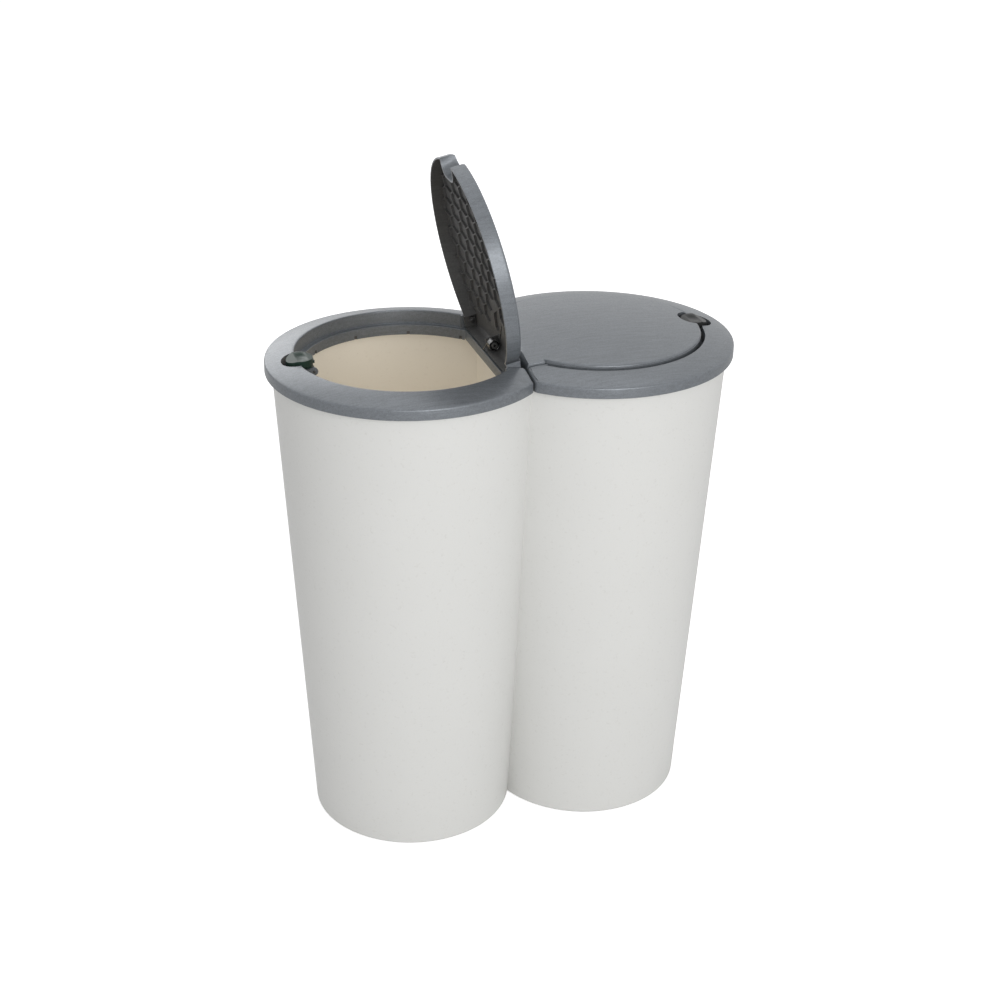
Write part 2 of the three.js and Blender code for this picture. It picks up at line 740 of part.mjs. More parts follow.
const group = new THREE.Group();
group.add(piece("double_tub", geometryOf(doubleTub()), offWhite()));
group.add(binTop("left", openAngle, darkGreen()));
const rightTop = binTop("right", 0, darkGrey());
rightTop.scale.x = -1;
group.add(rightTop);

export default group;
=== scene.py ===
import math

import bmesh
import bpy
from mathutils import Matrix, Vector


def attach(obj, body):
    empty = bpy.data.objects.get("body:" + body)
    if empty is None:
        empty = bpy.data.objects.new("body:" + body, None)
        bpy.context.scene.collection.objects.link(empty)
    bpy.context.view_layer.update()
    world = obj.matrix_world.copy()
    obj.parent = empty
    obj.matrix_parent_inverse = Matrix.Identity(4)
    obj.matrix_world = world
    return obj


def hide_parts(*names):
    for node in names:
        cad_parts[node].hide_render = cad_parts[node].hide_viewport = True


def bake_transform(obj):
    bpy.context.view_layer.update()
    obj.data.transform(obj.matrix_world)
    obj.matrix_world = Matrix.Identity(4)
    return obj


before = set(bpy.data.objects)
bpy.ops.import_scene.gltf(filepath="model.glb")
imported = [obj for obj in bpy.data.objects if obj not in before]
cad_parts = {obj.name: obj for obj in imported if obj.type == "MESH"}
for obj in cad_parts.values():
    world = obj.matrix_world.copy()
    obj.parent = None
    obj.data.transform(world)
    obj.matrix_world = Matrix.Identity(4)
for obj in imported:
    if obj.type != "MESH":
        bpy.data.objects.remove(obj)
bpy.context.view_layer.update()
print("frame loaded")

# Shapes are drawn in millimetres for the left bin with its lid shut. The right bin is the mirror
# image, and each finished mesh is brought to metres once.

millimetre = 0.001
mergeDistance = 0.001
inset = 0.15  # a joined shape is set in by this, so that no two faces coincide
overshoot = 1.0  # a cutter goes this far past the face that it cuts
farAway = 400.0  # larger than any piece
sharpAngle = math.radians(33)
springAngle = math.radians(60)
barSegments = 40
ovalSegments = 96
axisX = -109.0  # the left tub's axis


def arcPoints(centreR, centreZ, radius, startDegrees, endDegrees, steps=5):
    # points of a profile's rounding, angles from outwards towards up
    points = []
    for i in range(steps + 1):
        a = math.radians(startDegrees + (endDegrees - startDegrees) * i / steps)
        points.append((centreR + radius * math.cos(a), centreZ + radius * math.sin(a)))
    return points


def objectFrom(shape, name, material=None):
    mesh = bpy.data.meshes.new(name)
    bmesh.ops.recalc_face_normals(shape, faces=shape.faces)
    shape.to_mesh(mesh)
    shape.free()
    made = bpy.data.objects.new(name, mesh)
    bpy.context.scene.collection.objects.link(made)
    if material:
        mesh.materials.append(material)
    return made


def turnedSolid(profile, steps=160, closed=False, material=None):
    # (radius, height) pairs spun about the tub's axis; closed profiles make a ring
    shape = bmesh.new()
    points = [shape.verts.new((axisX + r, 0, z)) for r, z in profile]
    pairs = list(zip(points, points[1:])) + ([(points[-1], points[0])] if closed else [])
    edges = [shape.edges.new(pair) for pair in pairs]
    bmesh.ops.spin(shape, geom=points + edges, cent=(axisX, 0, 0), axis=(0, 0, 1),
                   angle=2 * math.pi, steps=steps, use_merge=True, use_duplicate=False)
    bmesh.ops.remove_doubles(shape, verts=shape.verts, dist=mergeDistance)
    return objectFrom(shape, "turned", material)


def bar(radius, y0, y1, x, z, rounding=0.0, material=None):
    # round bar along Y
    shape = bmesh.new()
    bmesh.ops.create_cone(shape, cap_ends=True, segments=barSegments, radius1=radius,
                          radius2=radius, depth=y1 - y0)
    if rounding:
        rims = [e for e in shape.edges if abs(e.verts[0].co.z - e.verts[1].co.z) < mergeDistance]
        bmesh.ops.bevel(shape, geom=rims, offset=rounding, segments=2, profile=0.5,
                        affect="EDGES", material=-1)
    bmesh.ops.rotate(shape, verts=shape.verts, matrix=Matrix.Rotation(math.pi / 2, 3, "X"))
    bmesh.ops.translate(shape, verts=shape.verts, vec=(x, (y0 + y1) / 2, z))
    return objectFrom(shape, "bar", material)


def block(x0, x1, y0, y1, z0, z1, rounding=0.0, material=None):
    shape = bmesh.new()
    bmesh.ops.create_cube(shape, size=1)
    bmesh.ops.scale(shape, verts=shape.verts, vec=(x1 - x0, y1 - y0, z1 - z0))
    bmesh.ops.translate(shape, verts=shape.verts,
                        vec=((x0 + x1) / 2, (y0 + y1) / 2, (z0 + z1) / 2))
    if rounding:
        bmesh.ops.bevel(shape, geom=shape.edges, offset=rounding, segments=2, profile=0.5,
                        affect="EDGES", material=-1)
    return objectFrom(shape, "block", material)


def push(shape, face, way):
    pushed = bmesh.ops.extrude_face_region(shape, geom=[face])
    moved = [v for v in pushed["geom"] if isinstance(v, bmesh.types.BMVert)]
    bmesh.ops.translate(shape, verts=moved, vec=way)


def across(outline, y0, y1, lift=0.0, material=None):
    # an outline in X and Z pushed along Y; lift raises the far end
    shape = bmesh.new()
    face = shape.faces.new([shape.verts.new((x, y0, z)) for x, z in outline])
    push(shape, face, (0, y1 - y0, lift))
    return objectFrom(shape, "across", material)


def upright(outline, z0, z1, material=None):
    # a plan outline pushed up
    shape = bmesh.new()
    face = shape.faces.new([shape.verts.new((x, y, z0)) for x, y in outline])
    push(shape, face, (0, 0, z1 - z0))
    return objectFrom(shape, "upright", material)


def ovalPlug(foot, z0, top, z1, material=None):
    # from the foot oval to the top oval: (x, half length, half width, squareness)
    shape = bmesh.new()
    bmesh.ops.create_cone(shape, cap_ends=True, segments=ovalSegments, radius1=1, radius2=1,
                          depth=2)
    for v in shape.verts:
        x, halfLength, halfWidth, squareness = top if v.co.z > 0 else foot
        share = 2 / squareness
        along = math.copysign(abs(v.co.x) ** share, v.co.x)
        aside = math.copysign(abs(v.co.y) ** share, v.co.y)
        v.co = (x + along * halfLength, aside * halfWidth, z1 if v.co.z > 0 else z0)
    return objectFrom(shape, "oval", material)


def mergeDoubles(mesh):
    shape = bmesh.new()
    shape.from_mesh(mesh)
    bmesh.ops.remove_doubles(shape, verts=shape.verts, dist=mergeDistance)
    bmesh.ops.dissolve_degenerate(shape, edges=shape.edges, dist=mergeDistance)
    shape.to_mesh(mesh)
    shape.free()


def combine(target, operation, *tools):
    # joins, cuts or limits target with the tools, which are used up
    for tool in tools:
        step = target.modifiers.new("step", "BOOLEAN")
        step.operation = operation
        step.solver = "EXACT"
        step.object = tool
        step.material_mode = "TRANSFER"
        graph = bpy.context.evaluated_depsgraph_get()
        result = bpy.data.meshes.new_from_object(target.evaluated_get(graph),
                                                 preserve_all_data_layers=True, depsgraph=graph)
        target.modifiers.clear()
        old = target.data
        target.data = result
        bpy.data.meshes.remove(old)
        bpy.data.objects.remove(tool)
        mergeDoubles(result)
    return target


def join(target, *tools):
    return combine(target, "UNION", *tools)


def cut(target, *tools):
    return combine(target, "DIFFERENCE", *tools)


def limit(target, *tools):
    return combine(target, "INTERSECT", *tools)


def copyOf(source):
    made = source.copy()
    made.data = source.data.copy()
    bpy.context.scene.collection.objects.link(made)
    return made


def mirror(shape):
    bmesh.ops.scale(shape, verts=shape.verts, vec=(-1, 1, 1))
    bmesh.ops.reverse_faces(shape, faces=shape.faces)


def paint(mesh, material):
    mesh.materials.clear()
    mesh.materials.append(material)


def finishMesh(piece, name, side="left", angle=sharpAngle):
    # mirrors the right-hand pieces, brings the mesh to metres and marks its sharp edges
    mergeDoubles(piece.data)
    shape = bmesh.new()
    shape.from_mesh(piece.data)
    if side == "right":
        mirror(shape)
    bmesh.ops.scale(shape, verts=shape.verts, vec=(millimetre,) * 3)
    for face in shape.faces:
        face.smooth = True
    for edge in shape.edges:
        edge.smooth = len(edge.link_faces) == 2 and edge.calc_face_angle() < angle
    shape.to_mesh(piece.data)
    shape.free()
    piece.name = name
    piece.data.name = name
    return piece


def place(piece, node, bodyName):
    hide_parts(node)
    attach(piece, bodyName)
    print("made", piece.name)


def newGroup(name, inputs, outputs):
    # a tuple makes a colour socket and a number a value socket
    group = bpy.data.node_groups.new(name, "ShaderNodeTree")
    for direction, sockets in (("INPUT", inputs), ("OUTPUT", outputs)):
        for label, value in sockets.items():
            kind = "NodeSocketColor" if isinstance(value, tuple) else "NodeSocketFloat"
            socket = group.interface.new_socket(name=label, in_out=direction, socket_type=kind)
            socket.default_value = value
    nodes = group.nodes
    spot = nodes.new("ShaderNodeTexCoord").outputs["Object"]
    return group, nodes.new("NodeGroupInput"), nodes.new("NodeGroupOutput"), spot


def mathNode(tree, operation, *sources):
    # each source is a socket or a number
    node = tree.nodes.new("ShaderNodeMath")
    node.operation = operation
    for socket, source in zip(node.inputs, sources):
        if isinstance(source, (int, float)):
            socket.default_value = source
        else:
            tree.links.new(source, socket)
    return node.outputs[0]


def specksGroup():
    # scattered faint specks in the moulding, with a soft cloud of colour over it
    group, inputs, outputs, spot = newGroup("mouldingSpecks", {
        "Base": (0.8, 0.8, 0.8, 1),
        "Speck": (0.5, 0.5, 0.5, 1),
        "Speck Scale": 400,
        "Speck Amount": 0.3,
        "Cloud": 0.05,
    }, {"Color": (0, 0, 0, 1), "Mask": 0})
    nodes, links = group.nodes, group.links
    fine = nodes.new("ShaderNodeTexNoise")
    fine.inputs["Detail"].default_value = 3
    links.new(spot, fine.inputs["Vector"])
    links.new(inputs.outputs["Speck Scale"], fine.inputs["Scale"])
    pick = nodes.new("ShaderNodeMapRange")
    pick.inputs["From Min"].default_value = 0.6
    pick.inputs["From Max"].default_value = 0.74
    links.new(fine.outputs["Fac"], pick.inputs["Value"])
    amount = mathNode(group, "MULTIPLY", pick.outputs["Result"], inputs.outputs["Speck Amount"])
    cloud = nodes.new("ShaderNodeTexNoise")
    cloud.inputs["Scale"].default_value = 9
    cloud.inputs["Detail"].default_value = 4
    links.new(spot, cloud.inputs["Vector"])
    centred = mathNode(group, "SUBTRACT", cloud.outputs["Fac"], 0.5)
    swing = mathNode(group, "MULTIPLY_ADD", centred, inputs.outputs["Cloud"], 1)
    tint = nodes.new("ShaderNodeVectorMath")
    tint.operation = "SCALE"
    links.new(inputs.outputs["Base"], tint.inputs[0])
    links.new(swing, tint.inputs["Scale"])
    mix = nodes.new("ShaderNodeMix")
    mix.data_type = "RGBA"
    links.new(amount, mix.inputs["Factor"])
    links.new(tint.outputs["Vector"], mix.inputs["A"])
    links.new(inputs.outputs["Speck"], mix.inputs["B"])
    links.new(mix.outputs["Result"], outputs.inputs["Color"])
    links.new(pick.outputs["Result"], outputs.inputs["Mask"])
    return group


def grainGroup():
    # height of a moulded grain: a fine noise with a slower orange peel under it
    group, inputs, outputs, spot = newGroup("mouldedGrain", {
        "Grain Scale": 900,
        "Peel Scale": 120,
        "Peel Share": 0.4,
    }, {"Height": 0})
    nodes, links = group.nodes, group.links
    layers = []
    for scale in ("Grain Scale", "Peel Scale"):
        noise = nodes.new("ShaderNodeTexNoise")
        noise.inputs["Detail"].default_value = 2
        links.new(spot, noise.inputs["Vector"])
        links.new(inputs.outputs[scale], noise.inputs["Scale"])
        layers.append(noise)
    mix = nodes.new("ShaderNodeMix")
    mix.data_type = "FLOAT"
    links.new(inputs.outputs["Peel Share"], mix.inputs["Factor"])
    links.new(layers[0].outputs["Fac"], mix.inputs["A"])
    links.new(layers[1].outputs["Fac"], mix.inputs["B"])
    links.new(mix.outputs["Result"], outputs.inputs["Height"])
    return group


def streaksGroup():
    # long faint flow lines of the silver pigment, and its glinting flakes
    group, inputs, outputs, spot = newGroup("flowStreaks", {
        "Color": (0.2, 0.2, 0.2, 1),
        "Streak": 0.2,
        "Flake": 0.2,
    }, {"Result": (0, 0, 0, 1), "Flakes": 0})
    nodes, links = group.nodes, group.links
    stretch = nodes.new("ShaderNodeMapping")
    stretch.inputs["Scale"].default_value = (28, 420, 420)
    links.new(spot, stretch.inputs["Vector"])
    flow = nodes.new("ShaderNodeTexNoise")
    flow.inputs["Scale"].default_value = 1
    flow.inputs["Detail"].default_value = 4
    links.new(stretch.outputs["Vector"], flow.inputs["Vector"])
    flakes = nodes.new("ShaderNodeTexVoronoi")
    flakes.inputs["Scale"].default_value = 1100
    links.new(spot, flakes.inputs["Vector"])
    apart = nodes.new("ShaderNodeSeparateColor")
    links.new(flakes.outputs["Color"], apart.inputs["Color"])
    total = 1
    for source, strength in ((flow.outputs["Fac"], "Streak"), (apart.outputs["Red"], "Flake")):
        centred = mathNode(group, "SUBTRACT", source, 0.5)
        total = mathNode(group, "MULTIPLY_ADD", centred, inputs.outputs[strength], total)
    tint = nodes.new("ShaderNodeVectorMath")
    tint.operation = "SCALE"
    links.new(inputs.outputs["Color"], tint.inputs[0])
    links.new(total, tint.inputs["Scale"])
    links.new(tint.outputs["Vector"], outputs.inputs["Result"])
    links.new(apart.outputs["Green"], outputs.inputs["Flakes"])
    return group


specks = specksGroup()
grain = grainGroup()
streaks = streaksGroup()


def addGroup(tree, group, **values):
    node = tree.nodes.new("ShaderNodeGroup")
    node.node_tree = group
    for name, value in values.items():
        node.inputs[name.replace("_", " ")].default_value = value
    return node


def newMaterial(name):
    material = bpy.data.materials.new(name)
    material.use_nodes = True
    return material, material.node_tree, material.node_tree.nodes["Principled BSDF"]


def plastic(name, look):
    material, tree, shader = newMaterial(name)
    shader.inputs["Metallic"].default_value = look.get("metallic", 0.0)
    shader.inputs["IOR"].default_value = look.get("ior", 1.46)
    shader.inputs["Specular IOR Level"].default_value = look.get("specular", 0.5)
    color = addGroup(tree, specks, Base=(*look["base"], 1), Speck=(*look["speck"], 1),
                     Speck_Scale=look["speckScale"], Speck_Amount=look["speckAmount"],
                     Cloud=look["cloud"])
    last = color.outputs["Color"]
    if look.get("glow"):  # painted light: an emission glow for the daylight that the thin wall lets through
        tree.links.new(last, shader.inputs["Emission Color"])
        shader.inputs["Emission Strength"].default_value = look["glow"]
    if look.get("streak"):
        flow = addGroup(tree, streaks, Streak=look["streak"], Flake=look["flake"])
        tree.links.new(last, flow.inputs["Color"])
        last = flow.outputs["Result"]
        source = flow.outputs["Flakes"]
    else:
        source = color.outputs["Mask"]
    tree.links.new(last, shader.inputs["Base Color"])
    gloss = tree.nodes.new("ShaderNodeMapRange")
    gloss.inputs["To Min"].default_value = look["roughness"] - look["roughnessSwing"]
    gloss.inputs["To Max"].default_value = look["roughness"] + look["roughnessSwing"]
    tree.links.new(source, gloss.inputs["Value"])
    tree.links.new(gloss.outputs["Result"], shader.inputs["Roughness"])
    height = addGroup(tree, grain, Grain_Scale=look["grainScale"], Peel_Scale=look["peelScale"],
                      Peel_Share=look["peelShare"])
    bump = tree.nodes.new("ShaderNodeBump")
    bump.inputs["Strength"].default_value = look["bump"]
    bump.inputs["Distance"].default_value = look["bumpDistance"]
    tree.links.new(height.outputs["Height"], bump.inputs["Height"])
    tree.links.new(bump.outputs["Normal"], shader.inputs["Normal"])
    return material


tubLook = {
    "base": (0.68, 0.68, 0.662),
    "speck": (0.54, 0.53, 0.50),
    "speckScale": 260,
    "speckAmount": 0.28,
    "cloud": 0.03,
    "roughness": 0.46,
    "roughnessSwing": 0.04,
    "grainScale": 900,
    "peelScale": 160,
    "peelShare": 0.35,
    "bump": 0.25,
    "bumpDistance": 0.0006,
}
# the tub's inside walls: the same plastic as the outside, given a warmer tint and an emission
# glow, painted light for the light bounced inside the tub and let through its thin wall
tubInsidePaintedLightLook = dict(tubLook, base=(0.78, 0.725, 0.625), speck=(0.66, 0.60, 0.50), glow=0.14)
silverLook = {
    "base": (0.168, 0.182, 0.198),
    "speck": (0.27, 0.285, 0.30),
    "speckScale": 700,
    "speckAmount": 0.35,
    "cloud": 0.12,
    "streak": 0.5,
    "flake": 0.2,
    "metallic": 0.35,
    "roughness": 0.36,
    "roughnessSwing": 0.06,
    "grainScale": 1400,
    "peelScale": 300,
    "peelShare": 0.3,
    "bump": 0.2,
    "bumpDistance": 0.0004,
}
# the lid's underside and inner faces: the silver plastic darkened and without its metal sheen,
# painted shade for faces turned away from the light
undersidePaintedShadeLook = dict(silverLook, base=(0.088, 0.088, 0.087), speck=(0.13, 0.13, 0.13),
                     metallic=0.0, roughness=0.55, cloud=0.2)
greenLook = {
    "base": (0.016, 0.036, 0.027),
    "speck": (0.026, 0.052, 0.041),
    "specular": 0.2,
    "speckScale": 500,
    "speckAmount": 0.3,
    "cloud": 0.15,
    "roughness": 0.42,
    "roughnessSwing": 0.05,
    "grainScale": 1200,
    "peelScale": 250,
    "peelShare": 0.4,
    "bump": 0.15,
    "bumpDistance": 0.0004,
}
darkLook = dict(greenLook, base=(0.026, 0.027, 0.027), speck=(0.042, 0.042, 0.043))

tubPlastic = plastic("tubPlastic", tubLook)
tubInsidePaintedLight = plastic("tubInsidePaintedLight", tubInsidePaintedLightLook)
silverPlastic = plastic("silverPlastic", silverLook)
lidUndersidePaintedShade = plastic("lidUndersidePaintedShade", undersidePaintedShadeLook)
greenPlastic = plastic("greenPlastic", greenLook)
darkPlastic = plastic("darkPlastic", darkLook)


steelLook = {"speck": (0.2, 0.2, 0.19), "speckScale": 900, "speckAmount": 0.3, "cloud": 0.2,
             "roughnessSwing": 0.15}


def steel(name, roughness, tone):
    look = steelLook
    material, tree, shader = newMaterial(name)
    shader.inputs["Metallic"].default_value = 1.0
    color = addGroup(tree, specks, Base=(*tone, 1), Speck=(*look["speck"], 1),
                     Speck_Scale=look["speckScale"], Speck_Amount=look["speckAmount"],
                     Cloud=look["cloud"])
    tree.links.new(color.outputs["Color"], shader.inputs["Base Color"])
    gloss = tree.nodes.new("ShaderNodeMapRange")
    gloss.inputs["To Min"].default_value = roughness
    gloss.inputs["To Max"].default_value = roughness + look["roughnessSwing"]
    tree.links.new(color.outputs["Mask"], gloss.inputs["Value"])
    tree.links.new(gloss.outputs["Result"], shader.inputs["Roughness"])
    return material


springSteel = steel("springSteel", 0.22, (0.26, 0.26, 0.26))
pinSteel = steel("pinSteel", 0.36, (0.11, 0.11, 0.11))


tub = {
    "baseRadius": 117.2,
    "topRadius": 149.7,
    "height": 566.0,
    "wall": 2.2,
    "floor": 2.6,
    "footRadius": 4.0,
    "innerFootRadius": 3.0,
    "lipWidth": 4.0,
    "lipThickness": 2.0,
    "lipEdge": 0.4,
    "partitionTop": 556.4,
    "topSlot": 4.1,
}


def tubRadiusAt(z):
    return tub["baseRadius"] + (tub["topRadius"] - tub["baseRadius"]) * z / tub["height"]


def tubShell():
    top, lip, foot = tub["height"], tub["lipWidth"], tub["footRadius"]
    lipBottom = top - tub["lipThickness"]
    wide = tub["topRadius"] + lip
    return turnedSolid([
        (0, 0),
        *arcPoints(tubRadiusAt(foot) - foot, foot, foot, -90, 0, 6),
        (tubRadiusAt(lipBottom - lip), lipBottom - lip),
        (wide, lipBottom),
        (wide, top - tub["lipEdge"]),
        (wide - tub["lipEdge"], top),
        (0, top),
    ])


def tubHollow():
    wall, floor, corner = tub["wall"], tub["floor"], tub["innerFootRadius"]
    top = tub["height"]
    hollow = turnedSolid([
        (0, floor),
        *arcPoints(tubRadiusAt(floor + corner) - wall - corner, floor + corner, corner, -90, 0),
        (tub["topRadius"] - wall, top),
        (tub["topRadius"] - wall, top + overshoot),
        (0, top + overshoot),
    ], material=tubInsidePaintedLight)
    return limit(hollow, block(-farAway, -wall / 2, -farAway, farAway, -farAway, 2 * farAway,
                               material=tubInsidePaintedLight))


def mirrored(source):
    made = copyOf(source)
    shape = bmesh.new()
    shape.from_mesh(made.data)
    mirror(shape)
    shape.to_mesh(made.data)
    shape.free()
    return made


def makeDoubleTub():
    shell = tubShell()
    shell = join(shell, mirrored(shell))
    paint(shell.data, tubPlastic)
    hollow = tubHollow()
    otherHollow = mirrored(hollow)
    slot = tub["topSlot"]
    step = block(-slot, slot, -farAway, farAway, tub["partitionTop"], tub["height"] + overshoot,
                 material=tubPlastic)
    cut(shell, hollow, otherHollow, step)
    finishMesh(shell, "doubleTub")
    place(shell, "double_tub", "bin_body")


makeDoubleTub()


rim = {
    "radius": 157.0,
    "wall": 1.8,
    "bandBottom": 558.5,
    "bandTop": 570.3,
    "rise": 8.0,
    "bulge": 1.1,
    "outerRounding": 2.2,
    "innerRounding": 1.1,
    "topWidth": 33.0,
    "ledge": 562.0,
    "neckRadius": 118.5,
    "neckBottom": 550.0,
    "ribInner": 147.5,
    "ribOuter": 149.7,
    "ribBottom": 566.3,
    "chordGap": 0.8,
    "chordRounding": 3.2,
    "chordSpare": 0.02,
    "edge": 0.35,
    "corner": [(0.0, 1.0), (0.1, 0.5), (0.32, 0.17)],  # shares of the outer rounding
    "cornerEnd": 0.62,
    "slopeSteps": 12,
    "innerSteps": 4,
}
mouthRadius = rim["radius"] - rim["topWidth"]
mouthHeight = rim["bandTop"] + rim["rise"]
mouthEnd = axisX - mouthRadius

trough = {
    "sillFace": -18.87,
    "sillOuter": -20.67,
    "sillTop": 563.6,
    "sillBottom": 552.0,
    "bottom": 556.7,
    "top": 558.5,
    "lipTop": 564.6,
    "notchHalf": 86.0,
    "bossRadius": 4.2,
    "bossLength": 4.0,
    "cheekFoot": 3.0,
    "cheekInset": 20.0,
}
hinge = {"x": -11.6, "z": 573.917, "openAngle": 77.6, "hole": 1.6, "pinRadius": 1.5}


def rimTopAt(radius):
    t = (rim["radius"] - radius) / rim["topWidth"]
    return rim["bandTop"] + rim["rise"] * t + rim["bulge"] * 4 * t * (1 - t)


def rimProfileTop():
    # from the band's face over the rounded outer edge and the slope to the mouth's edge
    outer, inner = rim["outerRounding"], rim["innerRounding"]
    start = rim["radius"] - outer * rim["cornerEnd"]
    first = [(rim["radius"] - outer * a, rimTopAt(start) - outer * b) for a, b in rim["corner"]]
    last, steps = mouthRadius + inner, rim["slopeSteps"]
    slope = [(r, rimTopAt(r)) for r in
             [start + (last - start) * i / steps for i in range(steps + 1)]]
    drop = rimTopAt(last) - inner
    return [*first, *slope, *arcPoints(last, drop, inner, 90, 180, rim["innerSteps"])[1:]]


def rimRing():
    wall, edge = rim["wall"], rim["edge"]
    neck, bottom, ledge = rim["neckRadius"], rim["neckBottom"], rim["ledge"]

    def under(radius):
        return (radius, rimTopAt(radius) - wall)

    return turnedSolid([
        (rim["radius"], rim["bandBottom"] + edge),
        *rimProfileTop(),
        (mouthRadius, ledge + edge),
        (mouthRadius - edge, ledge),
        (neck + edge, ledge),
        (neck, ledge - edge),
        (neck, bottom + edge),
        (neck + edge, bottom),
        (neck + wall - edge, bottom),
        (neck + wall, bottom + edge),
        (neck + wall, ledge - wall),
        (mouthRadius + wall, ledge - wall),
        under(mouthRadius + wall),
        under(rim["ribInner"]),
        (rim["ribInner"], rim["ribBottom"]),
        (rim["ribOuter"], rim["ribBottom"]),
        under(rim["ribOuter"]),
        under(rim["radius"] - wall),
        (rim["radius"] - wall, rim["bandBottom"]),
        (rim["radius"] - edge, rim["bandBottom"]),
    ], closed=True, steps=200)


def rimEnvelope():
    # everything a hair under the rim's top surface
    low, wide = rim["neckBottom"] - overshoot, rim["radius"] - inset
    slope = [(r - inset, z - inset) for r, z in rimProfileTop()[:-rim["innerSteps"]]]
    return turnedSolid([(0, low), (wide, low), *slope, (mouthRadius, mouthHeight - inset),
                        (0, mouthHeight - inset)], steps=200)


def ringBlocks(angles, inner, outer, width, z0, z1):
    made = []
    for degrees in angles:
        piece = block(inner, outer, -width / 2, width / 2, z0, z1)
        piece.data.transform(Matrix.Translation((axisX, 0, 0))
                             @ Matrix.Rotation(math.radians(degrees), 4, "Z"))
        made.append(piece)
    return made


def chordRounders():
    # cutters that round the rim's straight edges beside the middle plane
    made = []
    gap, r = -rim["chordGap"], rim["chordRounding"]
    radius = rim["radius"]
    outerY = math.sqrt(radius ** 2 - (axisX - gap) ** 2)
    innerY = trough["notchHalf"] - overshoot
    ends = [rimTopAt(math.hypot(axisX, y)) for y in (innerY, outerY)]
    profile = [(gap + overshoot, -r), (gap + overshoot, overshoot), (gap - r, overshoot)]
    rounding = [(gap - r + r * math.cos(a), -r + r * math.sin(a))
                for a in [math.radians(90 - 90 * i / 6) for i in range(7)]]
    for side in (-1, 1):
        outline = [(x, z + ends[0] + rim["chordSpare"]) for x, z in [*profile, *rounding]]
        made.append(across(outline, side * innerY, side * (outerY + overshoot),
                           ends[1] - ends[0]))
        corner = [(x, side * (outerY + y)) for x, y in [*profile, *rounding]]
        made.append(upright(corner, rim["bandBottom"] - overshoot, mouthHeight))
    return made


recess = {"halfLength": 16.5, "halfWidth": 20.0}
ear = {"inner": 11.7, "thickness": 2.8, "radius": 4.4, "root": 4.0}
pivot = {"x": -216.6, "z": 567.5}


def buttonCup():
    wall, ledge = rim["wall"], rim["ledge"]
    oval = (mouthEnd, recess["halfLength"] + wall, recess["halfWidth"] + wall, 2)
    cup = ovalPlug(oval, ledge - wall - inset / 2, oval, mouthHeight)
    neck, mouth = rim["neckRadius"] + inset, mouthRadius + inset
    clear = turnedSolid([(0, 0), (neck, 0), (neck, ledge - inset), (mouth, ledge - inset),
                         (mouth, 2 * mouthHeight), (0, 2 * mouthHeight)], steps=200)
    return cut(limit(cup, rimEnvelope()), clear)


def buttonEars():
    made = []
    root = mouthEnd - ear["root"]
    foot = axisX - rim["neckRadius"] + rim["wall"] / 2
    base = rim["ledge"] - rim["wall"] / 2
    for side in (-1, 1):
        faces = sorted((side * ear["inner"], side * (ear["inner"] + ear["thickness"])))
        arm = across([(root, base), (foot, base), (pivot["x"], pivot["z"] - ear["radius"]),
                      (pivot["x"], pivot["z"] + ear["radius"]), (root, pivot["z"])], *faces)
        made.append(join(arm, bar(ear["radius"], faces[0] + inset / 2, faces[1] - inset / 2,
                                  pivot["x"], pivot["z"])))
    return made


def hingeTrough():
    gap, half = rim["chordGap"], trough["notchHalf"] + rim["wall"] / 2
    outer, bottom = trough["sillOuter"] - inset, trough["bottom"]
    floor = block(outer, 0, -half, half, bottom, trough["top"])
    half += inset
    lip = block(-gap - rim["wall"], inset, -half, half, bottom + inset, trough["lipTop"])
    half += inset
    sill = block(trough["sillOuter"] - inset / 2, trough["sillFace"], -half, half,
                 trough["sillBottom"], trough["sillTop"], rounding=0.4)
    return join(floor, lip, sill)


def hingeCheek(side):
    # reaches past the notch and the middle plane, which are cut afterwards
    gap, wall, half = rim["chordGap"], rim["wall"], trough["notchHalf"]
    faces = sorted((side * (half - overshoot), side * (half + wall)))
    ends = sorted((side * (half - overshoot / 2), side * (rim["radius"] - trough["cheekInset"])))
    boss = sorted((side * (half - overshoot / 3), side * (half + trough["bossLength"])))
    cheek = block(trough["sillOuter"] - trough["cheekFoot"], 2 * overshoot, *faces,
                  trough["bottom"] - inset, mouthHeight)
    join(cheek, block(-gap - wall + inset, 1.5 * overshoot, *ends, rim["bandBottom"] + inset,
                      mouthHeight))
    join(cheek, bar(trough["bossRadius"], *boss, hinge["x"], hinge["z"]))
    return limit(cheek, rimEnvelope())


bead = {"angles": (100, 140, 180, 220, 260), "reach": 3.6, "width": 14, "top": 562.5,
        "height": 2.4}
pad = {"angles": (166, 194), "inner": 117.0, "outer": 120.0, "width": 10, "foot": 0.9,
       "top": 564.7}
notch = {"first": 44.5, "step": 30.7, "count": 4, "width": 3.4, "depth": 1.3, "height": 4.5}


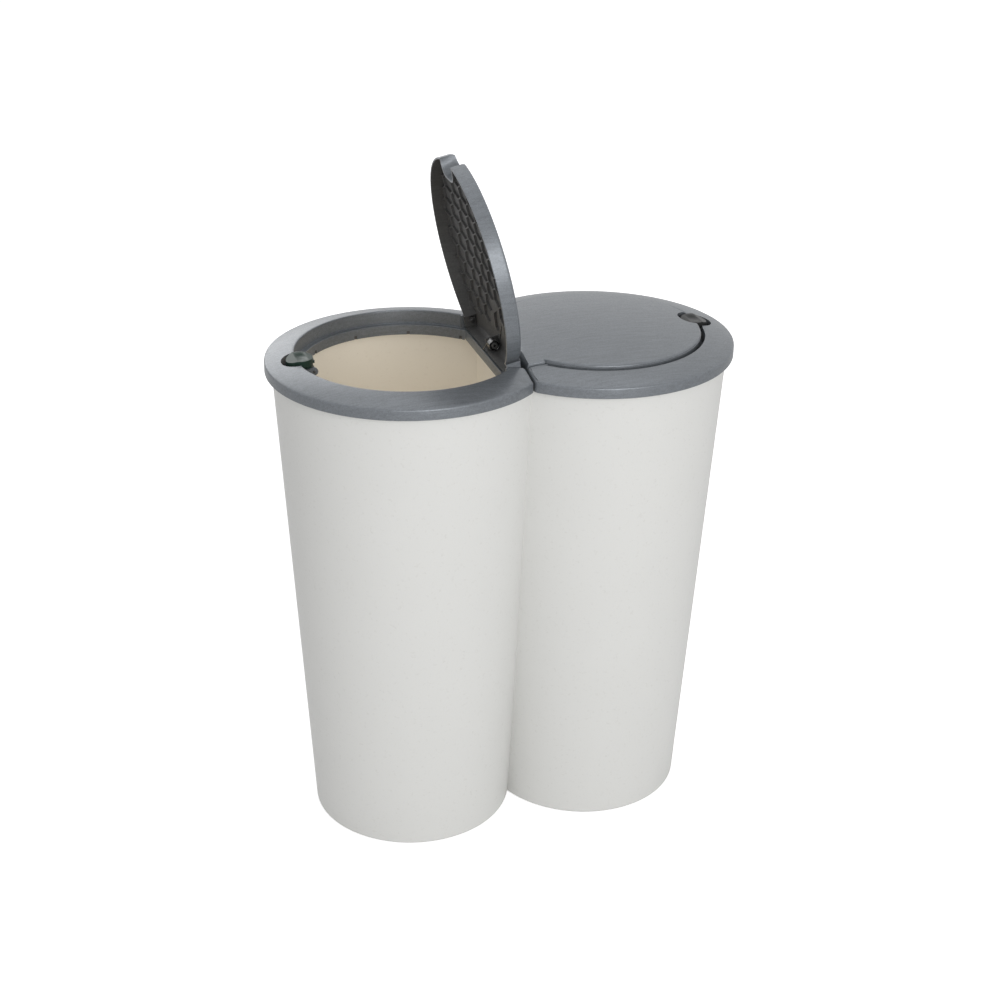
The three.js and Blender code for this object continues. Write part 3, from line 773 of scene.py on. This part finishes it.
def rimMesh():
    gap, half = rim["chordGap"], trough["notchHalf"]
    neck, foot = rim["neckRadius"], rim["neckBottom"]
    ring = rimRing()
    ring.data.materials.append(silverPlastic)
    root = rim["radius"] - rim["wall"] / 2
    join(ring, *ringBlocks(bead["angles"], root - bead["reach"], root, bead["width"],
                           bead["top"] - bead["height"], bead["top"]))
    join(ring, *ringBlocks(pad["angles"], pad["inner"], pad["outer"], pad["width"],
                           rim["ledge"] - pad["foot"], pad["top"]))
    join(ring, buttonCup())
    oval = (mouthEnd, recess["halfLength"], recess["halfWidth"], 2)
    cut(ring, ovalPlug(oval, rim["ledge"], oval, 2 * mouthHeight))
    turns = [notch["first"] + notch["step"] * i for i in range(notch["count"])]
    for cutter in ringBlocks(turns + [-a for a in turns], neck - overshoot,
                             neck + notch["depth"], notch["width"], foot - overshoot,
                             foot + notch["height"]):
        # the notches are blind, and their faces take the underside's dark material, painted shade
        # so that they read as dark slots
        cutter.data.materials.append(lidUndersidePaintedShade)
        cut(ring, cutter)
    join(ring, hingeCheek(-1), hingeCheek(1))
    cut(ring, block(trough["sillOuter"], farAway, -half, half, 0, 2 * farAway))
    join(ring, hingeTrough(), *buttonEars())
    cut(ring, block(-gap, farAway, -farAway, farAway, 0, 2 * farAway))
    cut(ring, *chordRounders())
    reach = half + trough["bossLength"] + overshoot
    cut(ring, bar(hinge["hole"], -reach, reach, hinge["x"], hinge["z"]),
        bar(hinge["hole"], -recess["halfWidth"], recess["halfWidth"], pivot["x"], pivot["z"]))
    return ring


def makeRims():
    made = rimMesh()
    for side in ("left", "right"):
        piece = finishMesh(copyOf(made), side + "Rim", side)
        place(piece, side + "_rim", "bin_body")
    bpy.data.objects.remove(made)


makeRims()


lidTop = 620.0  # above the lid's highest point
lid = {
    "radius": 119.5,
    "edge": 581.5,
    "bottom": 565.0,
    "rise": 7.5,
    "wall": 2.0,
    "edgeRounding": 2.2,
    "step": 0.55,
    "stepHeight": 578.9,
    "chordGap": 1.5,
    "shoulderHalf": 84.0,
    "shoulderReach": 21.0,
    "shoulderRounding": 1.4,
    "shoulderLap": 0.05,
    "footEdge": 0.4,
    "stepSlope": 0.6,
    "domeStart": 1.5,
    "domeReach": 150,
    "rollTop": 50,
    "fittingSet": 0.2,
    "rollRadius": 10.1,
    "bossRadius": 4.2,
    "bossLength": 4.0,
}
biteFoot = (mouthEnd, 24.5, 20.5, 4)
biteTop = (mouthEnd, 20.5, 20.0, 2)
honeycomb = {"alongX": 17.5, "alongY": 25.2, "rib": 1.3, "ribHeight": 2.6, "startX": -125.0,
             "lastX": -34.0, "pastEdge": 8.0, "pastCell": 9.0, "root": 0.4, "clearFrom": -27.0}
largeCell = {"x": -38.0, "y": -14.0, "radius": 16.0}


def domeAt(radius):
    return lid["edge"] + lid["rise"] * (1 - (radius / lid["radius"]) ** 2)


def domeProfile(depth, widest, steps=14):
    return [(widest * (1 - i / steps), domeAt(widest * (1 - i / steps)) - depth)
            for i in range(steps + 1)]


def domeSolid(depth, material=None):
    return turnedSolid([(0, 0), (lid["domeReach"], 0), *domeProfile(depth, lid["domeReach"], 20)],
                       steps=200, material=material)


def rollSolid(depth, material=None):
    radius = lid["rollRadius"] - depth
    top = lid["edge"] + lid["rollTop"]
    outline = [(-farAway, 0), (hinge["x"] + radius, 0)]
    for i in range(13):
        a = math.radians(90 * i / 12)
        outline.append((hinge["x"] + radius * math.cos(a), hinge["z"] + radius * math.sin(a)))
    outline += [(hinge["x"], top), (-farAway, top)]
    return across(outline, -farAway, farAway, material=material)


def roundShoulders(mesh):
    # rounds the top edges of the shoulders' two ends
    shape = bmesh.new()
    shape.from_mesh(mesh)
    low, half = lid["bottom"] + lid["wall"], lid["shoulderHalf"] - overshoot / 10
    ends = [e for e in shape.edges if all(v.co.z > low and abs(v.co.y) > half for v in e.verts)]
    bmesh.ops.bevel(shape, geom=ends, offset=lid["shoulderRounding"], segments=4, profile=0.5,
                    affect="EDGES", material=-1)
    shape.to_mesh(mesh)
    shape.free()


def lidShell():
    # the round part carries the rounded edge and the fine step of the skirt
    r, edge, step, foot = lid["radius"], lid["edgeRounding"], lid["step"], lid["footEdge"]
    inner = r - step
    last = inner - edge
    profile = [(0, lid["bottom"]), (r - foot, lid["bottom"]), (r, lid["bottom"] + foot),
               (r, lid["stepHeight"]), (inner, lid["stepHeight"] + step * lid["stepSlope"]),
               *arcPoints(last, domeAt(last) - edge, edge, 0, 90, 5),
               *domeProfile(0, last - lid["domeStart"], 16)]
    dome = turnedSolid(profile, steps=240)
    reach, half = lid["shoulderReach"], lid["shoulderHalf"]
    limit(dome, block(-farAway, -reach + lid["shoulderLap"], -farAway, farAway, 0, farAway * 2))
    shoulders = block(-reach, -lid["chordGap"], -half, half, lid["bottom"], lidTop)
    limit(shoulders, domeSolid(0))
    roundShoulders(shoulders.data)
    return limit(join(dome, shoulders), rollSolid(0))


def lidHollow(depth, material, margin=0.0):
    # the space under the lid, its ceiling depth from the dome and its sides from the skirt
    wall = lid["wall"] + margin
    half = lid["shoulderHalf"] - wall
    bottom = lid["bottom"] - overshoot
    r = lid["radius"] - wall
    hollow = turnedSolid([(0, bottom), (r, bottom), *domeProfile(depth, r, 14)], steps=240,
                         material=material)
    reach = lid["shoulderReach"] - wall
    limit(hollow, block(-farAway, -reach + lid["shoulderLap"], -farAway, farAway, 0,
                        farAway * 2, material=material))
    shoulders = block(-reach, -lid["chordGap"] - wall, -half, half, bottom, lidTop,
                      material=material)
    limit(shoulders, domeSolid(depth, material))
    join(hollow, shoulders)
    limit(hollow, rollSolid(wall, material))
    foot = (mouthEnd, biteFoot[1] + wall, biteFoot[2] + wall, biteFoot[3])
    top = (mouthEnd, biteTop[1] + wall, biteTop[2] + wall, biteTop[3])
    return cut(hollow, ovalPlug(foot, lid["bottom"] - 2 * overshoot, top, domeAt(0) + overshoot,
                                material=material))


def honeycombCells(material):
    # upright six-sided cores, one for each cell of the honeycomb
    shape = bmesh.new()
    stepX, stepY, rib = honeycomb["alongX"], honeycomb["alongY"], honeycomb["rib"]
    z0, z1 = lid["bottom"] - 2 * overshoot, lidTop
    corners = [(stepX * 2 / 3, 0), (stepX / 3, stepY / 2), (-stepX / 3, stepY / 2),
               (-stepX * 2 / 3, 0), (-stepX / 3, -stepY / 2), (stepX / 3, -stepY / 2)]
    shrinkX, shrinkY = 1 - rib / stepX, 1 - rib / stepY
    clear = largeCell["radius"] + honeycomb["pastCell"]
    for row in range(-6, 6):
        x = honeycomb["startX"] + row * stepX
        if x > honeycomb["lastX"]:
            continue
        shift = 0.5 if row % 2 == 0 else 0.0
        for column in range(-6, 7):
            y = (column + shift) * stepY
            if math.hypot(x - axisX, y) > lid["radius"] + honeycomb["pastEdge"]:
                continue
            if math.hypot(x - largeCell["x"], y - largeCell["y"]) < clear:
                continue
            face = shape.faces.new([shape.verts.new((x + a * shrinkX, y + b * shrinkY, z0))
                                    for a, b in corners])
            push(shape, face, (0, 0, z1 - z0))
    return objectFrom(shape, "cells", material)


post = {"radius": 3.6, "bore": 1.6, "front": -8.5, "boreDepth": 10.5, "rounding": 0.4}
web = {"front": 2.0, "thickness": 2.5, "margin": 3.0}
catch = {"start": -213.8, "half": 6.0, "top": 573.8, "height": 2.2, "root": 0.3,
         "rounding": 0.3}


def lidRibs():
    # the honeycomb under the lid, a slab let into the ceiling with its cells cut through
    ceiling, cell = lid["wall"] - honeycomb["root"], largeCell
    ribs = lidHollow(ceiling, lidUndersidePaintedShade, -honeycomb["root"])
    corners = [math.radians(60 * i) for i in range(6)]
    wide = upright([(cell["x"] + cell["radius"] * math.cos(a),
                     cell["y"] + cell["radius"] * math.sin(a)) for a in corners],
                   lid["bottom"] - 2 * overshoot, lidTop, material=lidUndersidePaintedShade)
    clear = block(honeycomb["clearFrom"], farAway, -farAway, farAway, 0, farAway * 2,
                  material=lidUndersidePaintedShade)
    return cut(ribs, domeSolid(lid["wall"] + honeycomb["ribHeight"], lidUndersidePaintedShade), clear,
               honeycombCells(lidUndersidePaintedShade), wide)


def addShell(piece, extra, material):
    # puts another closed shell into the piece's mesh
    index = list(piece.data.materials).index(material)
    for face in extra.data.polygons:
        face.material_index = index
    shape = bmesh.new()
    shape.from_mesh(piece.data)
    shape.from_mesh(extra.data)
    shape.to_mesh(piece.data)
    shape.free()
    bpy.data.objects.remove(extra)


def lidFittings():
    # the web with the spring's post, and the hinge bosses
    x, z, wall = hinge["x"], hinge["z"], lid["wall"]
    low = z - post["radius"] - web["margin"]
    made = block(x - post["radius"] - web["margin"], -lid["chordGap"] - lid["fittingSet"],
                 web["front"], web["front"] + web["thickness"], low, lidTop,
                 material=lidUndersidePaintedShade)
    join(made, bar(post["radius"], post["front"], web["front"] + overshoot, x, z,
                   rounding=post["rounding"], material=lidUndersidePaintedShade))
    half = lid["shoulderHalf"] - lid["fittingSet"]
    for s in (-1, 1):
        ends = sorted((s * half, s * (half - wall - lid["bossLength"])))
        join(made, bar(lid["bossRadius"], *ends, x, z, material=lidUndersidePaintedShade))
    return limit(made, lidHollow(wall / 2, lidUndersidePaintedShade, -wall / 2))


def lidMesh():
    # one wall, and the hook, fittings and ribs let into it as closed shells of their own
    shell = lidShell()
    paint(shell.data, silverPlastic)
    cut(shell, ovalPlug(biteFoot, lid["bottom"] - overshoot, biteTop, domeAt(0),
                        material=silverPlastic))
    fittings = lidFittings()
    x, z, half = hinge["x"], hinge["z"], lid["shoulderHalf"]
    cut(fittings, bar(post["bore"], post["front"] - overshoot,
                      post["front"] + post["boreDepth"], x, z, material=lidUndersidePaintedShade))
    ends = half - lid["wall"] - lid["bossLength"] - overshoot
    for piece in (shell, fittings):
        for s in (-1, 1):
            cut(piece, bar(hinge["hole"], *sorted((s * ends, s * (half + overshoot))), x, z,
                           material=lidUndersidePaintedShade))
    # the hollow's faces, and the ribs and fittings added below, take the underside's painted
    # shade material
    cut(shell, lidHollow(lid["wall"], lidUndersidePaintedShade))
    hook = block(catch["start"], mouthEnd + biteFoot[1] + catch["root"], -catch["half"],
                 catch["half"], catch["top"] - catch["height"], catch["top"],
                 rounding=catch["rounding"], material=silverPlastic)
    addShell(shell, hook, silverPlastic)
    addShell(shell, fittings, lidUndersidePaintedShade)
    addShell(shell, lidRibs(), lidUndersidePaintedShade)
    return shell


def makeLids():
    x, z = hinge["x"], hinge["z"]
    made = lidMesh()
    for side, degrees in (("left", hinge["openAngle"]), ("right", 0)):
        piece = copyOf(made)
        turn = Matrix.Rotation(math.radians(degrees), 4, "Y")
        piece.data.transform(Matrix.Translation((x, 0, z)) @ turn
                             @ Matrix.Translation((-x, 0, -z)))
        finishMesh(piece, side + "Lid", side)
        place(piece, side + "_lid", side + "_lid_leaf")
    bpy.data.objects.remove(made)


makeLids()


def tubeAlong(points, radius, name, material):
    curve = bpy.data.curves.new(name, "CURVE")
    curve.dimensions = "3D"
    curve.bevel_depth = radius
    curve.bevel_resolution = 2
    curve.use_fill_caps = True
    line = curve.splines.new("POLY")
    line.points.add(len(points) - 1)
    for spot, point in zip(line.points, points):
        spot.co = (*point, 1)
    drawn = bpy.data.objects.new(name, curve)
    bpy.context.scene.collection.objects.link(drawn)
    graph = bpy.context.evaluated_depsgraph_get()
    mesh = bpy.data.meshes.new_from_object(drawn.evaluated_get(graph))
    bpy.data.objects.remove(drawn)
    made = bpy.data.objects.new(name, mesh)
    bpy.context.scene.collection.objects.link(made)
    paint(mesh, material)
    return made


torsionSpring = {"radius": 5.9, "wire": 0.65, "turns": 6, "front": -7.0, "length": 8.0,
                 "footReach": 16.0, "footIn": 0.9, "footUp": 0.1, "legLength": 27.0,
                 "legLean": 16.0, "stepsPerTurn": 28}


def torsionPoints(lidDegrees):
    s = torsionSpring
    lidAngle = math.pi - math.radians(lidDegrees)
    end = (trough["sillOuter"] + s["footIn"] - hinge["x"],
           trough["sillTop"] + s["wire"] + s["footUp"] - hinge["z"])
    away = math.hypot(*end)
    rimStart = math.atan2(end[1], end[0]) - math.acos(s["radius"] / away) + 2 * math.pi
    start = lidAngle - math.pi / 2
    finish = rimStart + (s["turns"] - 1) * 2 * math.pi
    lift = lid["rollRadius"] - lid["wall"] + s["wire"]
    lidEnd = (math.cos(lidAngle) * s["legLength"] + math.cos(start) * lift,
              s["front"] - s["legLean"],
              math.sin(lidAngle) * s["legLength"] + math.sin(start) * lift)
    points = [lidEnd]
    count = int(s["turns"] * s["stepsPerTurn"])
    for i in range(count + 1):
        share = i / count
        a = start + (finish - start) * share
        points.append((s["radius"] * math.cos(a), s["front"] + s["length"] * share,
                       s["radius"] * math.sin(a)))
    points.append((end[0], s["front"] + s["footReach"], end[1]))
    return [(x + hinge["x"], y, z + hinge["z"]) for x, y, z in points]


def placeSpring(spring, side, node):
    # finishes the spring for its side, hides its part in the frame and bakes its place into the
    # mesh
    finishMesh(spring, spring.name, side, springAngle)
    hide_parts(side + node)
    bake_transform(spring)
    print("made", spring.name)


def makeTorsionSpring(side, lidDegrees):
    s, x, z = torsionSpring, hinge["x"], hinge["z"]
    spring = tubeAlong(torsionPoints(lidDegrees), s["wire"], side + "LidSpring", springSteel)
    placeSpring(spring, side, "_lid_spring")


returnSpring = {"x": -237.1, "radius": 3.2, "wire": 0.4, "turns": 5, "bottom": 562.85,
                "top": 572.65, "stepsPerTurn": 24}


def makeReturnSpring(side):
    s = returnSpring
    count = s["turns"] * s["stepsPerTurn"]
    points = []
    for i in range(count + 1):
        a = 2 * math.pi * s["turns"] * i / count
        points.append((s["x"] + s["radius"] * math.cos(a), s["radius"] * math.sin(a),
                       s["bottom"] + (s["top"] - s["bottom"]) * i / count))
    spring = tubeAlong(points, s["wire"], side + "ButtonSpring", springSteel)
    placeSpring(spring, side, "_button_spring")


hingePin = {"start": 77.7, "end": 90.0, "overlap": 0.5, "rounding": 0.3, "headRadius": 3.0,
            "headLength": 1.5, "headRounding": 0.4}
pivotPin = {"pastEar": 0.6, "rounding": 0.3}


def makeHingePin(side, end):
    # end is 1 for the rear pin and -1 for the front one
    p = hingePin
    shank = bar(hinge["pinRadius"], *sorted((end * (p["start"] - p["overlap"]), end * p["end"])),
                hinge["x"], hinge["z"], rounding=p["rounding"])
    head = bar(p["headRadius"], *sorted((end * (p["start"] - p["headLength"]), end * p["start"])),
               hinge["x"], hinge["z"], rounding=p["headRounding"])
    join(shank, head)
    paint(shank.data, pinSteel)
    word = "Rear" if end > 0 else "Front"
    finishMesh(shank, side + word + "HingePin", side)
    place(shank, side + "_" + word.lower() + "_hinge_pin", "bin_body")


def makePivotPin(side):
    half = ear["inner"] + ear["thickness"] + pivotPin["pastEar"]
    pin = bar(hinge["pinRadius"], -half, half, pivot["x"], pivot["z"],
              rounding=pivotPin["rounding"], material=pinSteel)
    finishMesh(pin, side + "ButtonPin", side)
    place(pin, side + "_button_pin", "bin_body")


for side, degrees in (("left", hinge["openAngle"]), ("right", 0)):
    makeTorsionSpring(side, degrees)
    makeReturnSpring(side)
    makeHingePin(side, 1)
    makeHingePin(side, -1)
    makePivotPin(side)


button = {
    "x": -229.6,
    "halfLength": 14.6,
    "halfWidth": 16.0,
    "top": 580.8,
    "bottom": 573.5,
    "fall": 4.0,
    "crown": 0.8,
    "creaseAt": 0.35,
    "crownFrom": 0.6,
    "stemHalf": 11.2,
    "stemReach": 8.0,
    "eyeRadius": 2.8,
    "noseHalf": 6.0,
    "noseReach": 0.8,
    "noseLift": 0.7,
    "noseHeight": 3.0,
    "rounding": 0.7,
    "roundingSteps": 3,
    "roundFrom": 38,
    "dimple": {"shift": 1.4, "halfLength": 6.2, "halfWidth": 8.2, "slope": 1.3, "depth": 0.6},
    "set": 0.05,  # joined blocks are set in by this, so that no faces coincide
}


def makeButton(side, material):
    b = button
    oval = (b["x"], b["halfLength"], b["halfWidth"], 2)
    outer, inner = b["x"] - b["halfLength"] - overshoot, b["x"] + b["halfLength"] + overshoot
    crease = b["x"] - b["halfLength"] * b["creaseAt"]
    crown = b["x"] + b["halfLength"] * b["crownFrom"]
    outline = [(outer, b["bottom"]), (inner, b["bottom"]), (inner, b["top"] - b["crown"]),
               (crown, b["top"]), (crease, b["top"]), (outer, b["top"] - b["fall"])]
    section = across(outline, -recess["halfWidth"], recess["halfWidth"])
    cap = limit(ovalPlug(oval, b["bottom"] - overshoot, oval, b["top"] + overshoot), section)
    joined = b["bottom"] + overshoot
    low = pivot["z"] - overshoot / 2
    stem = ovalPlug(oval, low - overshoot, oval, joined + overshoot)
    limit(stem, block(pivot["x"] - b["stemReach"], inner, -b["stemHalf"], b["stemHalf"],
                      low, joined))
    half = b["stemHalf"] - b["set"]
    eye = bar(b["eyeRadius"], -half, half, pivot["x"], pivot["z"])
    half -= b["set"]
    heel = block(pivot["x"] - b["stemReach"] + b["set"], pivot["x"], -half, half,
                 pivot["z"] - b["eyeRadius"] + b["set"], pivot["z"] + overshoot)
    noseBottom = b["bottom"] + b["noseLift"]
    nose = block(pivot["x"], b["x"] + b["halfLength"] + b["noseReach"], -b["noseHalf"],
                 b["noseHalf"], noseBottom, noseBottom + b["noseHeight"])
    join(cap, stem, eye, heel, nose)
    thumb = b["dimple"]
    wide = (b["x"] + thumb["shift"], thumb["halfLength"], thumb["halfWidth"], 2)
    narrow = (wide[0], wide[1] - thumb["slope"], wide[2] - thumb["slope"], 2)
    cut(cap, ovalPlug(narrow, b["top"] - thumb["depth"], wide, b["top"] + inset))
    cut(cap, bar(hinge["hole"], -recess["halfWidth"], recess["halfWidth"], pivot["x"],
                 pivot["z"]))
    paint(cap.data, material)
    finishMesh(cap, side + "LatchButton", side)
    soften = cap.modifiers.new("rounding", "BEVEL")
    soften.width = b["rounding"] * millimetre
    soften.segments = b["roundingSteps"]
    soften.limit_method = "ANGLE"
    soften.angle_limit = math.radians(b["roundFrom"])
    soften.harden_normals = False
    place(cap, side + "_latch_button", side + "_button")


makeButton("left", greenPlastic)
makeButton("right", darkPlastic)


stage = {"floorSize": 6, "floorTone": 0.93, "floorRoughness": 0.9, "floorGlow": 0.55,
         "skyLight": 0.5, "skySeen": 1.0, "lampTarget": (0, 0, 0.35)}


def makeFloor():
    shape = bmesh.new()
    bmesh.ops.create_grid(shape, x_segments=1, y_segments=1, size=stage["floorSize"])
    floor = objectFrom(shape, "floor")
    material, tree, shader = newMaterial("paleFloor")
    shader.inputs["Base Color"].default_value = (*(stage["floorTone"],) * 3, 1)
    shader.inputs["Roughness"].default_value = stage["floorRoughness"]
    shader.inputs["Emission Color"].default_value = (1, 1, 1, 1)
    path = tree.nodes.new("ShaderNodeLightPath")
    glow = mathNode(tree, "MULTIPLY", path.outputs["Is Camera Ray"], stage["floorGlow"])
    tree.links.new(glow, shader.inputs["Emission Strength"])
    floor.data.materials.append(material)


def makeWorld():
    world = bpy.data.worlds.new("studio")
    bpy.context.scene.world = world
    world.use_nodes = True
    tree = world.node_tree
    background = tree.nodes["Background"]
    background.inputs["Color"].default_value = (1, 1, 1, 1)
    path = tree.nodes.new("ShaderNodeLightPath")
    seen = mathNode(tree, "MAXIMUM", path.outputs["Is Camera Ray"], path.outputs["Is Glossy Ray"])
    seen = mathNode(tree, "MAXIMUM", seen, path.outputs["Is Transmission Ray"])
    strength = tree.nodes.new("ShaderNodeMapRange")
    strength.inputs["To Min"].default_value = stage["skyLight"]
    strength.inputs["To Max"].default_value = stage["skySeen"]
    tree.links.new(seen, strength.inputs["Value"])
    tree.links.new(strength.outputs["Result"], background.inputs["Strength"])


def makeLamp(name, position, target, size, power):
    lamp = bpy.data.lights.new(name, "AREA")
    lamp.shape = "DISK"
    lamp.size = size
    lamp.energy = power
    made = bpy.data.objects.new(name, lamp)
    bpy.context.scene.collection.objects.link(made)
    made.location = position
    made.rotation_euler = (Vector(target) - Vector(position)).to_track_quat("-Z", "Y").to_euler()


lamps = {
    "keyLamp": {"position": (0.1, -3.3, 1.6), "size": 2.2, "power": 55},
    "topLamp": {"position": (0.3, 0.9, 3.0), "size": 2.2, "power": 8},
    "backLamp": {"position": (-0.5, 3.3, 1.8), "size": 2.2, "power": 24},
}

photoCamera = {
    "position": (-0.562206, -1.761185, 1.271754),
    "azimuth": -17.689,
    "elevation": 25.773,
    "roll": 0.791,
    "focalPixels": 1767.24,
    "imagePixels": 1000,
    "sensor": 36.0,
}


def makeCamera():
    p = photoCamera
    azimuth, elevation, roll = (math.radians(p[k]) for k in ("azimuth", "elevation", "roll"))
    back = Vector((math.sin(azimuth) * math.cos(elevation),
                   -math.cos(azimuth) * math.cos(elevation), math.sin(elevation)))
    level = Vector((math.cos(azimuth), math.sin(azimuth), 0))
    upward = back.cross(level)
    right = level * math.cos(roll) + upward * math.sin(roll)
    up = upward * math.cos(roll) - level * math.sin(roll)
    lens = bpy.data.cameras.new("photoCamera")
    lens.sensor_width = p["sensor"]
    lens.lens = p["focalPixels"] * p["sensor"] / p["imagePixels"]
    camera = bpy.data.objects.new("photoCamera", lens)
    bpy.context.scene.collection.objects.link(camera)
    turn = Matrix((right, up, back)).transposed().to_4x4()
    camera.matrix_world = Matrix.Translation(p["position"]) @ turn
    bpy.context.scene.camera = camera


makeFloor()
makeWorld()
for name, lamp in lamps.items():
    makeLamp(name, lamp["position"], stage["lampTarget"], lamp["size"], lamp["power"])
makeCamera()
bpy.context.scene.view_settings.view_transform = "Standard"

print("stage ready")
